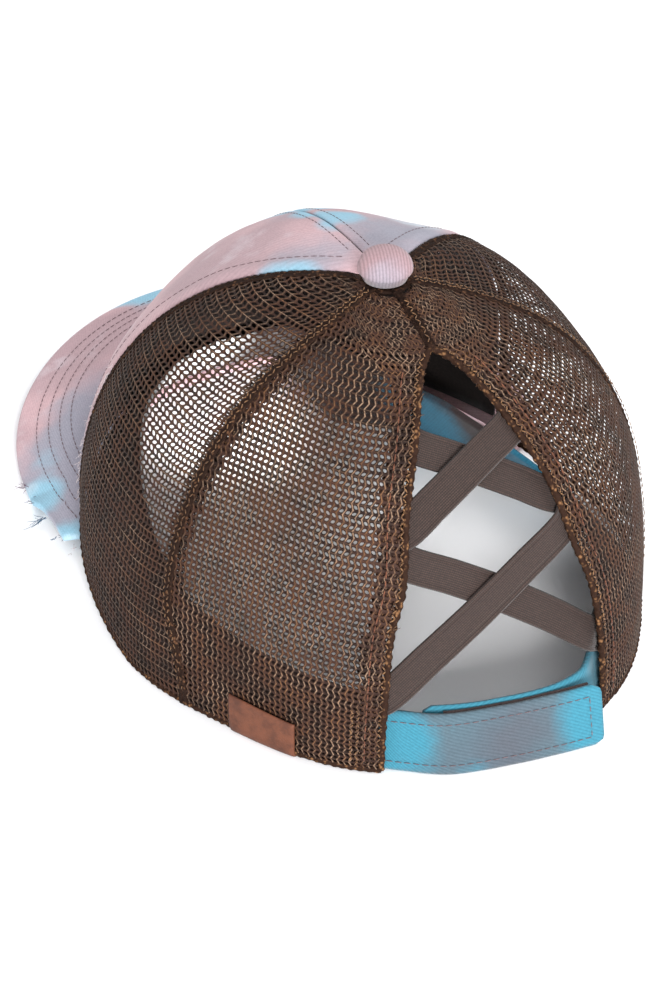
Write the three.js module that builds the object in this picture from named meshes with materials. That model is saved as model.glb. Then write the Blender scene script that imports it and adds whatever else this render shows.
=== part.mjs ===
import * as THREE from "three";

// Ponytail baseball cap, in millimetres: +X is the wearer's left, -Y the visor, +Z up, resting on the floor.

// Crown: height at the button, half width at the rim, and how far the rim reaches back and forward
const crownHeight = 112.5;
const halfWidth = 86;
const backReach = 86;
const frontReach = 114.5;
const apexSetback = 4.5;
const frontRise = 22;
const clothWall = 1.2;
const clearance = 0.3;

// Opening for the ponytail: half width at the rim, and the share of the way down where it starts
const openingHalfWidth = 36.8;
const openingTop = 0.2;

// Button on the apex, with the shank that holds it to the crown
const buttonRadius = 8.3;
const buttonHeight = 5.4;
const buttonEdge = 1.8;
const buttonSides = 24;
const domeSteps = 5;
const domePower = 1.2;
const shankRadius = 2.4;
const shankHoleRadius = 5;
const shankLength = 5;

// Visor
const visorHalfWidth = 89;
const visorLength = 68;
const visorWidest = 88;
const visorThickness = 2.6;
const visorTipHeight = 10.5;
const visorArch = 4;
const visorTuck = 5;
const visorEndAngle = 118;
const visorEndWidth = 4;
const visorSideShare = 0.76;
const visorEndLift = 0.8;
const visorPower = 2.05;

// Inner band and front lining
const bandHeight = 21;
const bandLean = 17;
const bandWall = 1.4;
const bandCurl = 1.2;
const liningWall = 1.1;
const liningTop = 0.16;
const liningBottom = 0.96;

// Elastic straps across the opening
const elasticWidth = 10.3;
const elasticWall = 1.1;
const elasticTuck = 5;
const elasticLift = 1.2;
const crossingLift = 0.9;

// Hook and loop closure
const closureHeight = 18.6;
const closureWall = 1.5;
const closureFloorGap = 0.4;
const closureTuck = 5;
const closureBow = 15.3;
const closureLean = 4.8;
const tapeWall = 0.8;
const tapeMargin = 0.8;
const tapeStart = 0.5;
const tapeEnd = 0.96;

// Leather-like label on the left of the hem
const labelWidth = 23.6;
const labelHeight = 13.6;
const labelWall = 1;
const labelAngle = 51;

// Number of halvings when a height is looked up on the crown
const halvings = 30;

const halfTurn = 180;
const fullTurn = 360;
const radian = Math.PI / halfTurn;

// The rim by angle from the back: radii are shares of the reaches, rises of the front rise
const rimTable = [
  { angle: 0, left: 1, right: 1, leftRise: 0, rightRise: 0 },
  { angle: 30, left: 0.971, right: 0.971, leftRise: 0, rightRise: 0 },
  { angle: 60, left: 0.926, right: 0.926, leftRise: 0, rightRise: 0 },
  { angle: 90, left: 1.001, right: 0.97, leftRise: 0, rightRise: 0 },
  { angle: 115, left: 1.067, right: 0.95, leftRise: 0.3, rightRise: 0.17 },
  { angle: 145, left: 1.09, right: 0.975, leftRise: 0.78, rightRise: 0.5 },
  { angle: 180, left: 1, right: 1, leftRise: 1, rightRise: 1 },
];

// The crown above the rim: how round its plan and how full its side view are, as powers
const bulgeTable = [
  { angle: 0, round: 2.25, full: 2.21 },
  { angle: 30, round: 2.18, full: 2.31 },
  { angle: 60, round: 1.96, full: 2.57 },
  { angle: 90, round: 1.89, full: 2.39 },
  { angle: 115, round: 2.19, full: 2.16 },
  { angle: 145, round: 2.24, full: 1.72 },
  { angle: 180, round: 2.51, full: 2.12 },
];

// How far the inner band's upper edge flops inwards, as shares of its lean
const leanTable = [
  { angle: 0, left: 0.55, right: 0.55 },
  { angle: 30, left: 0.55, right: 0.55 },
  { angle: 60, left: 0.7, right: 0.8 },
  { angle: 90, left: 1, right: 1.1 },
  { angle: 115, left: 1.1, right: 1.3 },
  { angle: 145, left: 1, right: 1.3 },
  { angle: 180, left: 1, right: 1 },
];

// Below this share of the way down the two sides of the crown part ways
const tuckStart = 0.55;

// Angle of the seam between a back panel and a side panel, by the share of the way down
const sideSeamTable = [
  { down: 0, angle: 60 },
  { down: 0.2, angle: 66.5 },
  { down: 0.4, angle: 74.5 },
  { down: 0.6, angle: 77 },
  { down: 0.85, angle: 77 },
  { down: 1, angle: 72 },
];
const frontSeamAngle = 123.6;

// Half angle of the opening as a share of its half angle at the rim, by the share of the way down
const openingTable = [
  { down: openingTop, share: 0 },
  { down: 0.225, share: 0.17 },
  { down: 0.255, share: 0.33 },
  { down: 0.3, share: 0.46 },
  { down: 0.4, share: 0.61 },
  { down: 0.54, share: 0.77 },
  { down: 0.68, share: 0.83 },
  { down: 0.76, share: 0.925 },
  { down: 0.84, share: 0.965 },
  { down: 1, share: 1 },
];

// Numbers of facets across and along the other pieces
const bandColumns = 40;
const bandRows = 3;
const visorColumns = 32;
const visorRows = 6;
const elasticColumns = 12;
const elasticStations = [0.25, 0.5, 0.75];
const closureColumns = 18;
const labelColumns = 4;

// Where panels have their rows of facets, as shares of the way down
const panelRows = [
  0, 0.06, 0.12, 0.2, 0.225, 0.255, 0.3, 0.35, 0.4, 0.47, 0.54, 0.62, 0.68, 0.76, 0.84, 0.92, 1,
];
const backColumns = 9;
const sideColumns = 8;
const frontColumns = 8;

// Elastic straps: where each leaves the opening's edges, as shares of the way down, and its layer
const elasticTable = [
  { name: "elastic_upper_under", leftDown: 0.41, rightDown: 0.576, layer: 1, bow: 0 },
  { name: "elastic_upper_over", leftDown: 0.576, rightDown: 0.418, layer: 0, bow: 0 },
  { name: "elastic_lower_under", leftDown: 0.635, rightDown: 0.875, layer: 1, bow: 2 },
  { name: "elastic_lower_over", leftDown: 0.88, rightDown: 0.64, layer: 0, bow: 0 },
];

// Closure straps from the opening's corner to the free end: across in half widths of the opening, out in bows
const outerRoute = [
  { across: 0.8, out: 0.25 },
  { across: 0.5, out: 0.66 },
  { across: 0, out: 0.88 },
  { across: -0.43, out: 0.97 },
  { across: -0.79, out: 1 },
];
const innerRoute = [
  { across: -0.75, out: 0.5 },
  { across: -0.43, out: 0.72 },
  { across: 0, out: 0.66 },
  { across: 0.3, out: 0.54 },
  { across: 0.62, out: 0.3 },
];

function mix(from, to, share) {
  return from + (to - from) * share;
}

function ease(from, to, value) {
  const share = Math.min(Math.max((value - from) / (to - from), 0), 1);
  return share * share * (3 - 2 * share);
}

// A smooth curve through one column of a table
function sample(table, key, column, at) {
  const last = table.length - 1;
  const slopeAt = (i) => {
    const before = table[Math.max(i - 1, 0)];
    const after = table[Math.min(i + 1, last)];
    return (after[column] - before[column]) / (after[key] - before[key]);
  };
  const value = Math.min(Math.max(at, table[0][key]), table[last][key]);
  let i = 0;
  while (i < last - 1 && value > table[i + 1][key]) i += 1;
  const span = table[i + 1][key] - table[i][key];
  const s = (value - table[i][key]) / span;
  const startSlope = i === 0 ? 0 : slopeAt(i);
  const endSlope = i + 1 === last ? 0 : slopeAt(i + 1);
  return (
    table[i][column] * (1 + 2 * s) * (1 - s) ** 2 +
    table[i + 1][column] * s * s * (3 - 2 * s) +
    startSlope * span * s * (1 - s) ** 2 -
    endSlope * span * s * s * (1 - s)
  );
}

function turnOf(angle) {
  const whole = ((((angle + halfTurn) % fullTurn) + fullTurn) % fullTurn) - halfTurn;
  return { turn: Math.abs(whole), left: whole >= 0 };
}

// One side's value in a table that has a column for each side
function sideSample(table, angle, leftColumn, rightColumn) {
  const { turn, left } = turnOf(angle);
  return sample(table, "angle", left ? leftColumn : rightColumn, turn);
}

// Outer surface of the crown, at an angle from the back and a share of the way down from the apex to the rim
function crownOuter(angle, down) {
  const { turn } = turnOf(angle);
  const tilt = (down * Math.PI) / 2;
  const upper = sample(rimTable, "angle", "left", turn);
  const radius = mix(upper, sideSample(rimTable, angle, "left", "right"), ease(tuckStart, 1, down));
  const spread = radius * Math.sin(tilt) ** (2 / sample(bulgeTable, "angle", "round", turn));
  const rise = frontRise * Math.max(sideSample(rimTable, angle, "leftRise", "rightRise"), 0);
  const drop = Math.max(Math.cos(tilt), 0) ** (2 / sample(bulgeTable, "angle", "full", turn));
  const reach = turn < halfTurn / 2 ? backReach : frontReach;
  return new THREE.Vector3(
    halfWidth * spread * Math.sin(angle * radian),
    reach * spread * Math.cos(angle * radian) - apexSetback * Math.cos(tilt) ** 2,
    mix(rise, crownHeight, drop),
  );
}

// Small steps that the crown's directions are measured over
const angleStep = 0.5;
const downStep = 0.004;

function crownFrame(angle, down) {
  const around = crownOuter(angle + angleStep, down).sub(crownOuter(angle - angleStep, down)).normalize();
  const high = Math.max(down - downStep, 0);
  const fall = crownOuter(angle, Math.min(down + downStep, 1)).sub(crownOuter(angle, high)).normalize();
  return { around, fall, out: new THREE.Vector3().crossVectors(around, fall).normalize() };
}

// A point inside the crown's outer surface by a depth, which is level at the rim, so hems are flat below
function crownPoint(angle, down, depth) {
  const point = crownOuter(angle, down);
  const { out } = crownFrame(angle, down);
  if (down > 1 - downStep) out.setZ(0).normalize();
  return point.addScaledVector(out, -depth);
}

function levelRadius(angle, down) {
  const point = crownOuter(angle, down);
  return Math.hypot(point.x, point.y + apexSetback);
}

// Share of the way down where a test of the share first holds
function firstDown(holds) {
  let low = 0;
  let high = 1;
  for (let i = 0; i < halvings; i += 1) {
    const middle = (low + high) / 2;
    if (holds(middle)) high = middle;
    else low = middle;
  }
  return high;
}

// Angle that spans a width at the crown's surface
function spanAngle(width, angle, down) {
  return width / levelRadius(angle, down) / radian;
}

// Angle of a plan width at the rim of the back
function backAngle(width) {
  return Math.asin(width / halfWidth) / radian;
}

const openingAngle = backAngle(openingHalfWidth);

// Depth of a strap behind the panels, by its layer from outside
function strapDepth(layer) {
  return clothWall + 2 * clearance + layer * (elasticWall + 2 * clearance);
}

function openingEdge(down) {
  const gap = seamGap(0, down);
  if (down <= openingTop) return gap;
  return Math.max(openingAngle * sample(openingTable, "down", "share", down), gap);
}

// A closed wall between two grids of points: pointAt(u, v, face) with face 0 outside and face 1 inside
function wallGeometry(across, rows, pointAt) {
  const points = [];
  const faces = [];
  const columns = across.length;
  for (const face of [0, 1]) {
    for (const v of rows) {
      for (const u of across) points.push(pointAt(u, v, face));
    }
  }
  const at = (i, j, face) => face * columns * rows.length + j * columns + i;
  const quad = (a, b, c, d) => faces.push(a, b, c, a, c, d);
  for (let j = 0; j + 1 < rows.length; j += 1) {
    for (let i = 0; i + 1 < columns; i += 1) {
      quad(at(i, j, 0), at(i + 1, j, 0), at(i + 1, j + 1, 0), at(i, j + 1, 0));
      quad(at(i, j, 1), at(i, j + 1, 1), at(i + 1, j + 1, 1), at(i + 1, j, 1));
    }
    quad(at(0, j, 0), at(0, j + 1, 0), at(0, j + 1, 1), at(0, j, 1));
    quad(at(columns - 1, j, 1), at(columns - 1, j + 1, 1), at(columns - 1, j + 1, 0), at(columns - 1, j, 0));
  }
  const end = rows.length - 1;
  for (let i = 0; i + 1 < columns; i += 1) {
    quad(at(i, 0, 1), at(i + 1, 0, 1), at(i + 1, 0, 0), at(i, 0, 0));
    quad(at(i, end, 0), at(i + 1, end, 0), at(i + 1, end, 1), at(i, end, 1));
  }
  return outward(points, faces);
}

// Turns the faces round where the wall's two sides came out swapped, so that every piece faces outwards
function outward(points, faces) {
  let volume = 0;
  for (let i = 0; i < faces.length; i += 3) {
    const [a, b, c] = [points[faces[i]], points[faces[i + 1]], points[faces[i + 2]]];
    volume += a.dot(new THREE.Vector3().crossVectors(b, c));
  }
  if (volume < 0) faces.reverse();
  return new THREE.BufferGeometry().setFromPoints(points).setIndex(faces);
}

function steps(count) {
  return Array.from({ length: count + 1 }, (_, i) => i / count);
}

const cap = new THREE.Group();

function addPiece(name, geometry, finish) {
  const piece = new THREE.Mesh(geometry, new THREE.MeshStandardMaterial(finish));
  geometry.computeVertexNormals();
  piece.name = name;
  cap.add(piece);
}

const meshFinish = { color: 0x4a3428, roughness: 0.85, metalness: 0 };
const twillFinish = { color: 0xb79aa3, roughness: 0.9, metalness: 0 };
const cyanFinish = { color: 0x46b9d6, roughness: 0.9, metalness: 0 };
const liningFinish = { color: 0x17110f, roughness: 0.95, metalness: 0 };
const elasticFinish = { color: 0x56453f, roughness: 0.8, metalness: 0 };
const leatherFinish = { color: 0x9a4d2e, roughness: 0.6, metalness: 0 };

// The panels start at the edge of the hole under the button.
function panelDown(row, angleAtTop) {
  return Math.max(row, firstDown((down) => levelRadius(angleAtTop, down) > shankHoleRadius));
}

// A crown panel between two seams, each given as an angle by the share of the way down
function panelGeometry(columns, startAt, endAt) {
  return wallGeometry(steps(columns), panelRows, (u, row, face) => {
    const down = panelDown(row, mix(startAt(0), endAt(0), u));
    return crownPoint(mix(startAt(down), endAt(down), u), down, face * clothWall);
  });
}

function sideSeam(down) {
  return sample(sideSeamTable, "down", "angle", down);
}

function seamGap(angle, down) {
  return clearance / 2 / Math.max(levelRadius(angle, down), shankHoleRadius) / radian;
}

for (const side of [1, -1]) {
  const hand = side > 0 ? "left" : "right";
  addPiece(
    "back_panel_" + hand,
    panelGeometry(
      backColumns,
      (down) => side * openingEdge(down),
      (down) => side * (sideSeam(down) - seamGap(side * sideSeam(down), down)),
    ),
    meshFinish,
  );
  addPiece(
    "side_panel_" + hand,
    panelGeometry(
      sideColumns,
      (down) => side * (sideSeam(down) + seamGap(side * sideSeam(down), down)),
      (down) => side * (frontSeamAngle - seamGap(side * frontSeamAngle, down)),
    ),
    meshFinish,
  );
  addPiece(
    "front_panel_" + hand,
    panelGeometry(
      frontColumns,
      (down) => side * (frontSeamAngle + seamGap(side * frontSeamAngle, down)),
      (down) => side * (halfTurn - seamGap(halfTurn, down)),
    ),
    twillFinish,
  );
}

// Button: a low dome with a shank through the hole where the panels meet
function buttonGeometry() {
  const bottom = crownHeight + clearance;
  const profile = [
    new THREE.Vector2(0, bottom - shankLength),
    new THREE.Vector2(shankRadius, bottom - shankLength),
    new THREE.Vector2(shankRadius, bottom),
    new THREE.Vector2(buttonRadius - buttonEdge / 2, bottom),
    new THREE.Vector2(buttonRadius, bottom + buttonEdge / 2),
  ];
  for (const share of steps(domeSteps)) {
    const tilt = (share * Math.PI) / 2;
    const radius = share === 1 ? 0 : buttonRadius * Math.cos(tilt) ** domePower;
    profile.push(new THREE.Vector2(radius, bottom + mix(buttonEdge, buttonHeight, Math.sin(tilt))));
  }
  return new THREE.LatheGeometry(profile, buttonSides).rotateX(Math.PI / 2).translate(0, -apexSetback, 0);
}
addPiece("button", buttonGeometry(), twillFinish);

// Lining behind the front panels
function liningGeometry() {
  const rows = panelRows.filter((down) => down > liningTop && down < liningBottom);
  return wallGeometry(steps(2 * frontColumns), rows, (u, down, face) => {
    const edge = frontSeamAngle + seamGap(frontSeamAngle, down);
    return crownPoint(mix(edge, fullTurn - edge, u), down, clothWall + clearance + face * liningWall);
  });
}
addPiece("front_lining", liningGeometry(), liningFinish);

// Band sewn inside the rim, leaning inwards to its free upper edge and ending clear of the closure straps
function bandGeometry() {
  const start = openingAngle + spanAngle(closureTuck + closureLean + bandWall, openingAngle, 1);
  return wallGeometry(steps(bandColumns), steps(bandRows), (u, v, face) => {
    const angle = mix(start, fullTurn - start, u);
    const foot = crownOuter(angle, 1);
    const out = crownFrame(angle, 1).out.setZ(0).normalize();
    const lean = bandLean * sideSample(leanTable, angle, "left", "right") * v ** bandCurl;
    const depth = clothWall + 2 * clearance + lean + face * bandWall;
    return foot.addScaledVector(out, -depth).setZ(foot.z + bandHeight * v);
  });
}
addPiece("inner_band", bandGeometry(), cyanFinish);

// Visor: a curved board from under the front of the rim to its own edge, lowest at its widest
function visorRim(across) {
  const angle = mix(halfTurn, visorEndAngle, across);
  const point = crownOuter(angle, 1);
  const out = crownFrame(angle, 1).out.setZ(0).normalize();
  return { point: point.setZ(point.z - 2 * clearance), out };
}

function visorEdge(across) {
  const side = Math.sign(across);
  const share = Math.abs(across);
  const rim = visorRim(across);
  const tip = -(frontReach + visorLength);
  const edge = new THREE.Vector3();
  if (share <= visorSideShare) {
    const tilt = ((share / visorSideShare) * Math.PI) / 2;
    edge.x = side * visorHalfWidth * Math.sin(tilt) ** (2 / visorPower);
    edge.y = mix(-visorWidest, tip, Math.cos(tilt) ** (2 / visorPower));
  } else {
    const back = (share - visorSideShare) / (1 - visorSideShare);
    const corner = rim.point.clone().addScaledVector(rim.out, visorEndWidth);
    edge.x = mix(side * visorHalfWidth, corner.x, back * back);
    edge.y = mix(-visorWidest, corner.y, back);
  }
  const level = visorThickness + visorTipHeight * (1 - Math.min(Math.abs(edge.x) / visorHalfWidth, 1) ** 2);
  edge.z = mix(level, rim.point.z, ease(visorSideShare, 1, share) * visorEndLift);
  return edge;
}

function visorGeometry() {
  const across = steps(visorColumns).map((u) => mix(1, -1, u));
  return wallGeometry(across, steps(visorRows), (u, v, face) => {
    const rim = visorRim(u);
    const point = rim.point.addScaledVector(rim.out, -visorTuck).lerp(visorEdge(u), v);
    point.z += visorArch * (1 - u * u) * Math.sin(v * Math.PI) ** 2 - face * visorThickness;
    return point;
  });
}
addPiece("visor", visorGeometry(), twillFinish);

// Elastic straps: straight across the opening, with both ends tucked behind the back panels
function elasticGeometry({ leftDown, rightDown, layer, bow }) {
  const depth = strapDepth(layer);
  const left = openingEdge(leftDown);
  const right = -openingEdge(rightDown);
  const onCrown = (share) => {
    const place = [mix(left, right, share), mix(leftDown, rightDown, share)];
    return { point: crownPoint(...place, depth), out: crownFrame(...place).out };
  };
  const start = onCrown(0);
  const finish = onCrown(1);
  const beyond = elasticTuck / start.point.distanceTo(finish.point);
  const across = elasticStations.map((share) => {
    const out = start.out.clone().lerp(finish.out, share).normalize();
    const point = start.point.clone().lerp(finish.point, share);
    const hump = Math.sin(share * Math.PI);
    point.addScaledVector(out, (elasticLift + (1 - layer) * crossingLift) * hump);
    return { point: point.setZ(point.z + bow * hump), out };
  });
  const stations = [onCrown(-beyond), start, ...across, finish, onCrown(1 + beyond)];
  const centre = new THREE.CatmullRomCurve3(stations.map((station) => station.point));
  const facing = new THREE.CatmullRomCurve3(stations.map((station) => station.out));
  return wallGeometry(steps(elasticColumns), steps(2), (u, v, face) => {
    const along = centre.getTangent(u);
    const width = new THREE.Vector3().crossVectors(facing.getPoint(u), along).normalize();
    const out = new THREE.Vector3().crossVectors(along, width);
    const point = centre.getPoint(u).addScaledVector(out, -face * elasticWall);
    return point.addScaledVector(width, (v - 0.5) * elasticWidth);
  });
}
for (const row of elasticTable) addPiece(row.name, elasticGeometry(row), elasticFinish);

// Closure straps: upright ribbons along a route in plan, leaning in a little at the top
function closureRoute(rows, side) {
  const depth = strapDepth(0);
  const corner = crownPoint(side * openingAngle, 1, depth);
  const tucked = crownPoint(side * (openingAngle + spanAngle(closureTuck, openingAngle, 1)), 1, depth);
  const free = rows.map((row) => {
    return new THREE.Vector3(row.across * openingHalfWidth, corner.y + row.out * closureBow, corner.z);
  });
  return new THREE.CatmullRomCurve3([tucked, corner, ...free]);
}

function ribbonGeometry({ route, side, from, to, margin, inset, wall }) {
  return wallGeometry(steps(closureColumns), steps(2), (u, v, face) => {
    const share = mix(from, to, u);
    const along = route.getTangent(share);
    const out = new THREE.Vector3(along.y, -along.x, 0).normalize().multiplyScalar(side);
    const point = route.getPoint(share).addScaledVector(out, -inset - face * wall);
    const level = mix(margin, closureHeight - margin, v);
    point.y -= (closureLean * level) / closureHeight;
    return point.setZ(closureFloorGap + level);
  });
}
const outerPath = closureRoute(outerRoute, 1);
const innerPath = closureRoute(innerRoute, -1);
const outerStrap = { route: outerPath, side: 1, from: 0, to: 1, margin: 0, inset: 0, wall: closureWall };
const innerStrap = { route: innerPath, side: -1, from: 0, to: 1, margin: 0, inset: 0, wall: closureWall };
const hookTape = {
  route: outerPath,
  side: 1,
  from: tapeStart,
  to: tapeEnd,
  margin: tapeMargin,
  inset: closureWall + clearance,
  wall: tapeWall,
};
addPiece("closure_outer", ribbonGeometry(outerStrap), cyanFinish);
addPiece("hook_tape", ribbonGeometry(hookTape), liningFinish);
addPiece("closure_inner", ribbonGeometry(innerStrap), cyanFinish);

// Label on the outside of the hem
function labelGeometry() {
  const turn = spanAngle(labelWidth / 2, labelAngle, 1);
  const top = firstDown((down) => crownOuter(labelAngle, down).z < labelHeight);
  return wallGeometry(steps(labelColumns), steps(2), (u, v, face) => {
    const angle = mix(labelAngle - turn, labelAngle + turn, u);
    return crownPoint(angle, mix(top, 1, v), face * labelWall - clearance - labelWall);
  });
}

addPiece("label", labelGeometry(), leatherFinish);

// The origin is at the middle of the box's bottom
const bounds = new THREE.Box3().setFromObject(cap);
const middle = bounds.getCenter(new THREE.Vector3());
cap.position.set(-middle.x, -middle.y, -bounds.min.z);

export default cap;
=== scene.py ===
import math
import random

import bmesh
import bpy
from mathutils import Matrix, Vector, noise


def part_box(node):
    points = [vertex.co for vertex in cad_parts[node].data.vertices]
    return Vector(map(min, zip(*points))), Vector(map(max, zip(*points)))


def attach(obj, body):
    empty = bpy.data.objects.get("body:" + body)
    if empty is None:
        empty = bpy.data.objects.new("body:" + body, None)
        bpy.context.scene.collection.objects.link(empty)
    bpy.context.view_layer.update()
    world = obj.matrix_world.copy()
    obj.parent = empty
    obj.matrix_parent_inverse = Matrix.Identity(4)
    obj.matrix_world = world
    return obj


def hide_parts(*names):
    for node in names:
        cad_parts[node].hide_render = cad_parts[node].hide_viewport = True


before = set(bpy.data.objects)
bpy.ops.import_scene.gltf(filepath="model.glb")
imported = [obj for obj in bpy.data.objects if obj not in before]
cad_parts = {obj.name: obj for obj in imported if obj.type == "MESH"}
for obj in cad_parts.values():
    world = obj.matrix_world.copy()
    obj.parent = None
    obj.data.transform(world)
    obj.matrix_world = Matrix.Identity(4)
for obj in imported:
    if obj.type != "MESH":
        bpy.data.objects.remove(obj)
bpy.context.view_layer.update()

mm = 0.001  # metres in a millimetre
random.seed(7)


# Crown: sizes in mm and the shares that shape it, by angle from the back

crown = {
    "height": 112.5, "halfWidth": 86, "backReach": 86, "frontReach": 114.5,
    "apexSetback": 4.5, "frontRise": 22, "tuckStart": 0.55, "wall": 1.2, "clearance": 0.3,
    "holeRadius": 5, "frontSeam": 123.6, "openingHalfWidth": 36.8, "openingTop": 0.2,
}


def tableOf(columns, *rows):
    return [dict(zip(columns.split(), row)) for row in rows]


rimTable = tableOf(
    "angle left right leftRise rightRise",
    (0, 1, 1, 0, 0), (30, 0.971, 0.971, 0, 0), (60, 0.926, 0.926, 0, 0), (90, 1.001, 0.97, 0, 0),
    (115, 1.067, 0.95, 0.3, 0.17), (145, 1.09, 0.975, 0.78, 0.5), (180, 1, 1, 1, 1),
)
bulgeTable = tableOf(
    "angle round full",
    (0, 2.25, 2.21), (30, 2.18, 2.31), (60, 1.96, 2.57), (90, 1.89, 2.39),
    (115, 2.19, 2.16), (145, 2.24, 1.72), (180, 2.51, 2.12),
)
leanTable = tableOf(
    "angle left right",
    (0, 0.55, 0.55), (30, 0.55, 0.55), (60, 0.7, 0.8), (90, 1, 1.1),
    (115, 1.1, 1.3), (145, 1, 1.3), (180, 1, 1),
)
sideSeamTable = tableOf("down angle", (0, 60), (0.2, 66.5), (0.4, 74.5), (0.6, 77), (0.85, 77), (1, 72))
openingTable = tableOf(
    "down share",
    (0.2, 0), (0.225, 0.17), (0.255, 0.33), (0.3, 0.46), (0.4, 0.61),
    (0.54, 0.77), (0.68, 0.83), (0.76, 0.925), (0.84, 0.965), (1, 1),
)
buttonLow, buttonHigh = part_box("button")
# Where the frame puts the part's own Y
shiftY = (buttonLow[1] + buttonHigh[1]) / 2 / mm + crown["apexSetback"]


def mix(start, end, share):
    return start + (end - start) * share


def spaced(start, end, count):  # evenly spaced values, both ends among them
    return [mix(start, end, k / count) for k in range(count + 1)]


def ease(start, end, value):
    share = min(max((value - start) / (end - start), 0), 1)
    return share * share * (3 - 2 * share)


def sample(table, key, column, at):
    last = len(table) - 1

    def slopeAt(row):
        before, after = table[max(row - 1, 0)], table[min(row + 1, last)]
        return (after[column] - before[column]) / (after[key] - before[key])

    value = min(max(at, table[0][key]), table[last][key])
    row = 0
    while row < last - 1 and value > table[row + 1][key]:
        row += 1
    span = table[row + 1][key] - table[row][key]
    s = (value - table[row][key]) / span
    startSlope = slopeAt(row) if row else 0
    endSlope = slopeAt(row + 1) if row + 1 < last else 0
    return (
        table[row][column] * (1 + 2 * s) * (1 - s) ** 2 + table[row + 1][column] * s * s * (3 - 2 * s)
        + startSlope * span * s * (1 - s) ** 2 - endSlope * span * s * s * (1 - s)
    )


curveSteps = 720  # each column is sampled once at this many steps round half the crown


def halfTurnCurve(table, column):
    return [sample(table, "angle", column, 180 * k / curveSteps) for k in range(curveSteps + 1)]


def look(curve, turn):
    at = min(max(turn / 180, 0), 1) * curveSteps
    k = min(int(at), curveSteps - 1)
    return mix(curve[k], curve[k + 1], at - k)


rimCurves = {column: halfTurnCurve(rimTable, column) for column in ("left", "right", "leftRise", "rightRise")}
roundCurve = halfTurnCurve(bulgeTable, "round")
fullCurve = halfTurnCurve(bulgeTable, "full")
leanCurves = {column: halfTurnCurve(leanTable, column) for column in ("left", "right")}


def turnOf(angle):
    whole = (angle + 180) % 360 - 180
    return abs(whole), whole >= 0


# A point of the outer surface in mm, by angle from the back and share of the way down
def crownOuter(angle, down):
    turn, left = turnOf(angle)
    tilt = down * math.pi / 2
    upper = look(rimCurves["left"], turn)
    lower = upper if left else look(rimCurves["right"], turn)
    radius = mix(upper, lower, ease(crown["tuckStart"], 1, down))
    spread = radius * max(math.sin(tilt), 0) ** (2 / look(roundCurve, turn))
    rise = crown["frontRise"] * max(look(rimCurves["leftRise" if left else "rightRise"], turn), 0)
    drop = max(math.cos(tilt), 0) ** (2 / look(fullCurve, turn))
    reach = crown["backReach"] if turn < 90 else crown["frontReach"]
    x = crown["halfWidth"] * spread * math.sin(math.radians(angle))
    y = reach * spread * math.cos(math.radians(angle)) - crown["apexSetback"] * math.cos(tilt) ** 2
    return Vector((x, y + shiftY, mix(rise, crown["height"], drop)))


nudge = 0.004  # a small step for slopes, as a share of the way
hemDown = 0.996  # from here down the wall is taken as upright


def crownNormal(angle, down, level=True):
    around = crownOuter(angle + 0.5, down) - crownOuter(angle - 0.5, down)
    fall = crownOuter(angle, min(down + nudge, 1)) - crownOuter(angle, max(down - nudge, 0))
    out = around.cross(fall).normalized()
    if level and down > hemDown:
        out.z = 0
        out.normalize()
    return out


def crownPoint(angle, down, depth):
    return crownOuter(angle, down) - crownNormal(angle, down) * depth


def levelRadius(angle, down):
    point = crownOuter(angle, down)
    return math.hypot(point.x, point.y - shiftY + crown["apexSetback"])


def spanAngle(width, angle, down):
    return math.degrees(width / max(levelRadius(angle, down), crown["holeRadius"]))


def firstDown(holds):
    low, high = 0, 1
    for _ in range(30):
        middle = (low + high) / 2
        if holds(middle):
            high = middle
        else:
            low = middle
    return high


def topDown(angle):  # where the panels start, at the hole under the button
    return firstDown(lambda down: levelRadius(angle, down) > crown["holeRadius"])


openingAngle = math.degrees(math.asin(crown["openingHalfWidth"] / crown["halfWidth"]))


def openingEdge(down):
    gap = spanAngle(crown["clearance"] / 2, 0, down)
    if down <= crown["openingTop"]:
        return gap
    return max(openingAngle * sample(openingTable, "down", "share", down), gap)


def sideSeam(down):
    return sample(sideSeamTable, "down", "angle", down)


def curvePoint(points, share):  # a centripetal curve through the points, as the frame's straps follow
    last = len(points) - 1
    at = min(max(share, 0), 1) * last
    k = min(int(at), last - 1)
    p1, p2 = points[k], points[k + 1]
    p0 = points[k - 1] if k else p1 * 2 - p2
    p3 = points[k + 2] if k + 2 <= last else p2 * 2 - p1
    d0, d1, d2 = (max((b - a).length, 1e-4) ** 0.5 for a, b in ((p0, p1), (p1, p2), (p2, p3)))
    t1 = ((p1 - p0) / d0 - (p2 - p0) / (d0 + d1) + (p2 - p1) / d1) * d1
    t2 = ((p2 - p1) / d1 - (p3 - p1) / (d1 + d2) + (p3 - p2) / d2) * d1
    w = at - k
    return p1 + t1 * w + (p2 * 3 - p1 * 3 - t1 * 2 - t2) * w * w + (p1 * 2 - p2 * 2 + t1 + t2) * w ** 3


def curveAlong(points, share):
    behind, ahead = curvePoint(points, max(share - nudge, 0)), curvePoint(points, min(share + nudge, 1))
    return (ahead - behind).normalized()


# Materials

def addNode(tree, kind, values=(), **settings):
    node = tree.nodes.new(kind)
    for key, value in settings.items():
        setattr(node, key, value)
    for key, value in dict(values).items():
        if isinstance(value, bpy.types.NodeSocket):
            tree.links.new(value, node.inputs[key])
        else:
            node.inputs[key].default_value = value
    return node


def startMaterial(name, roughness, specular, sheen=0.0):
    material = bpy.data.materials.new(name)
    material.use_nodes = True
    tree = material.node_tree
    shader = tree.nodes["Principled BSDF"]
    shader.inputs["Roughness"].default_value = roughness
    shader.inputs["Specular IOR Level"].default_value = specular
    shader.inputs["Sheen Weight"].default_value = sheen
    return material, tree, shader, addNode(tree, "ShaderNodeTexCoord").outputs["Object"]


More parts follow.
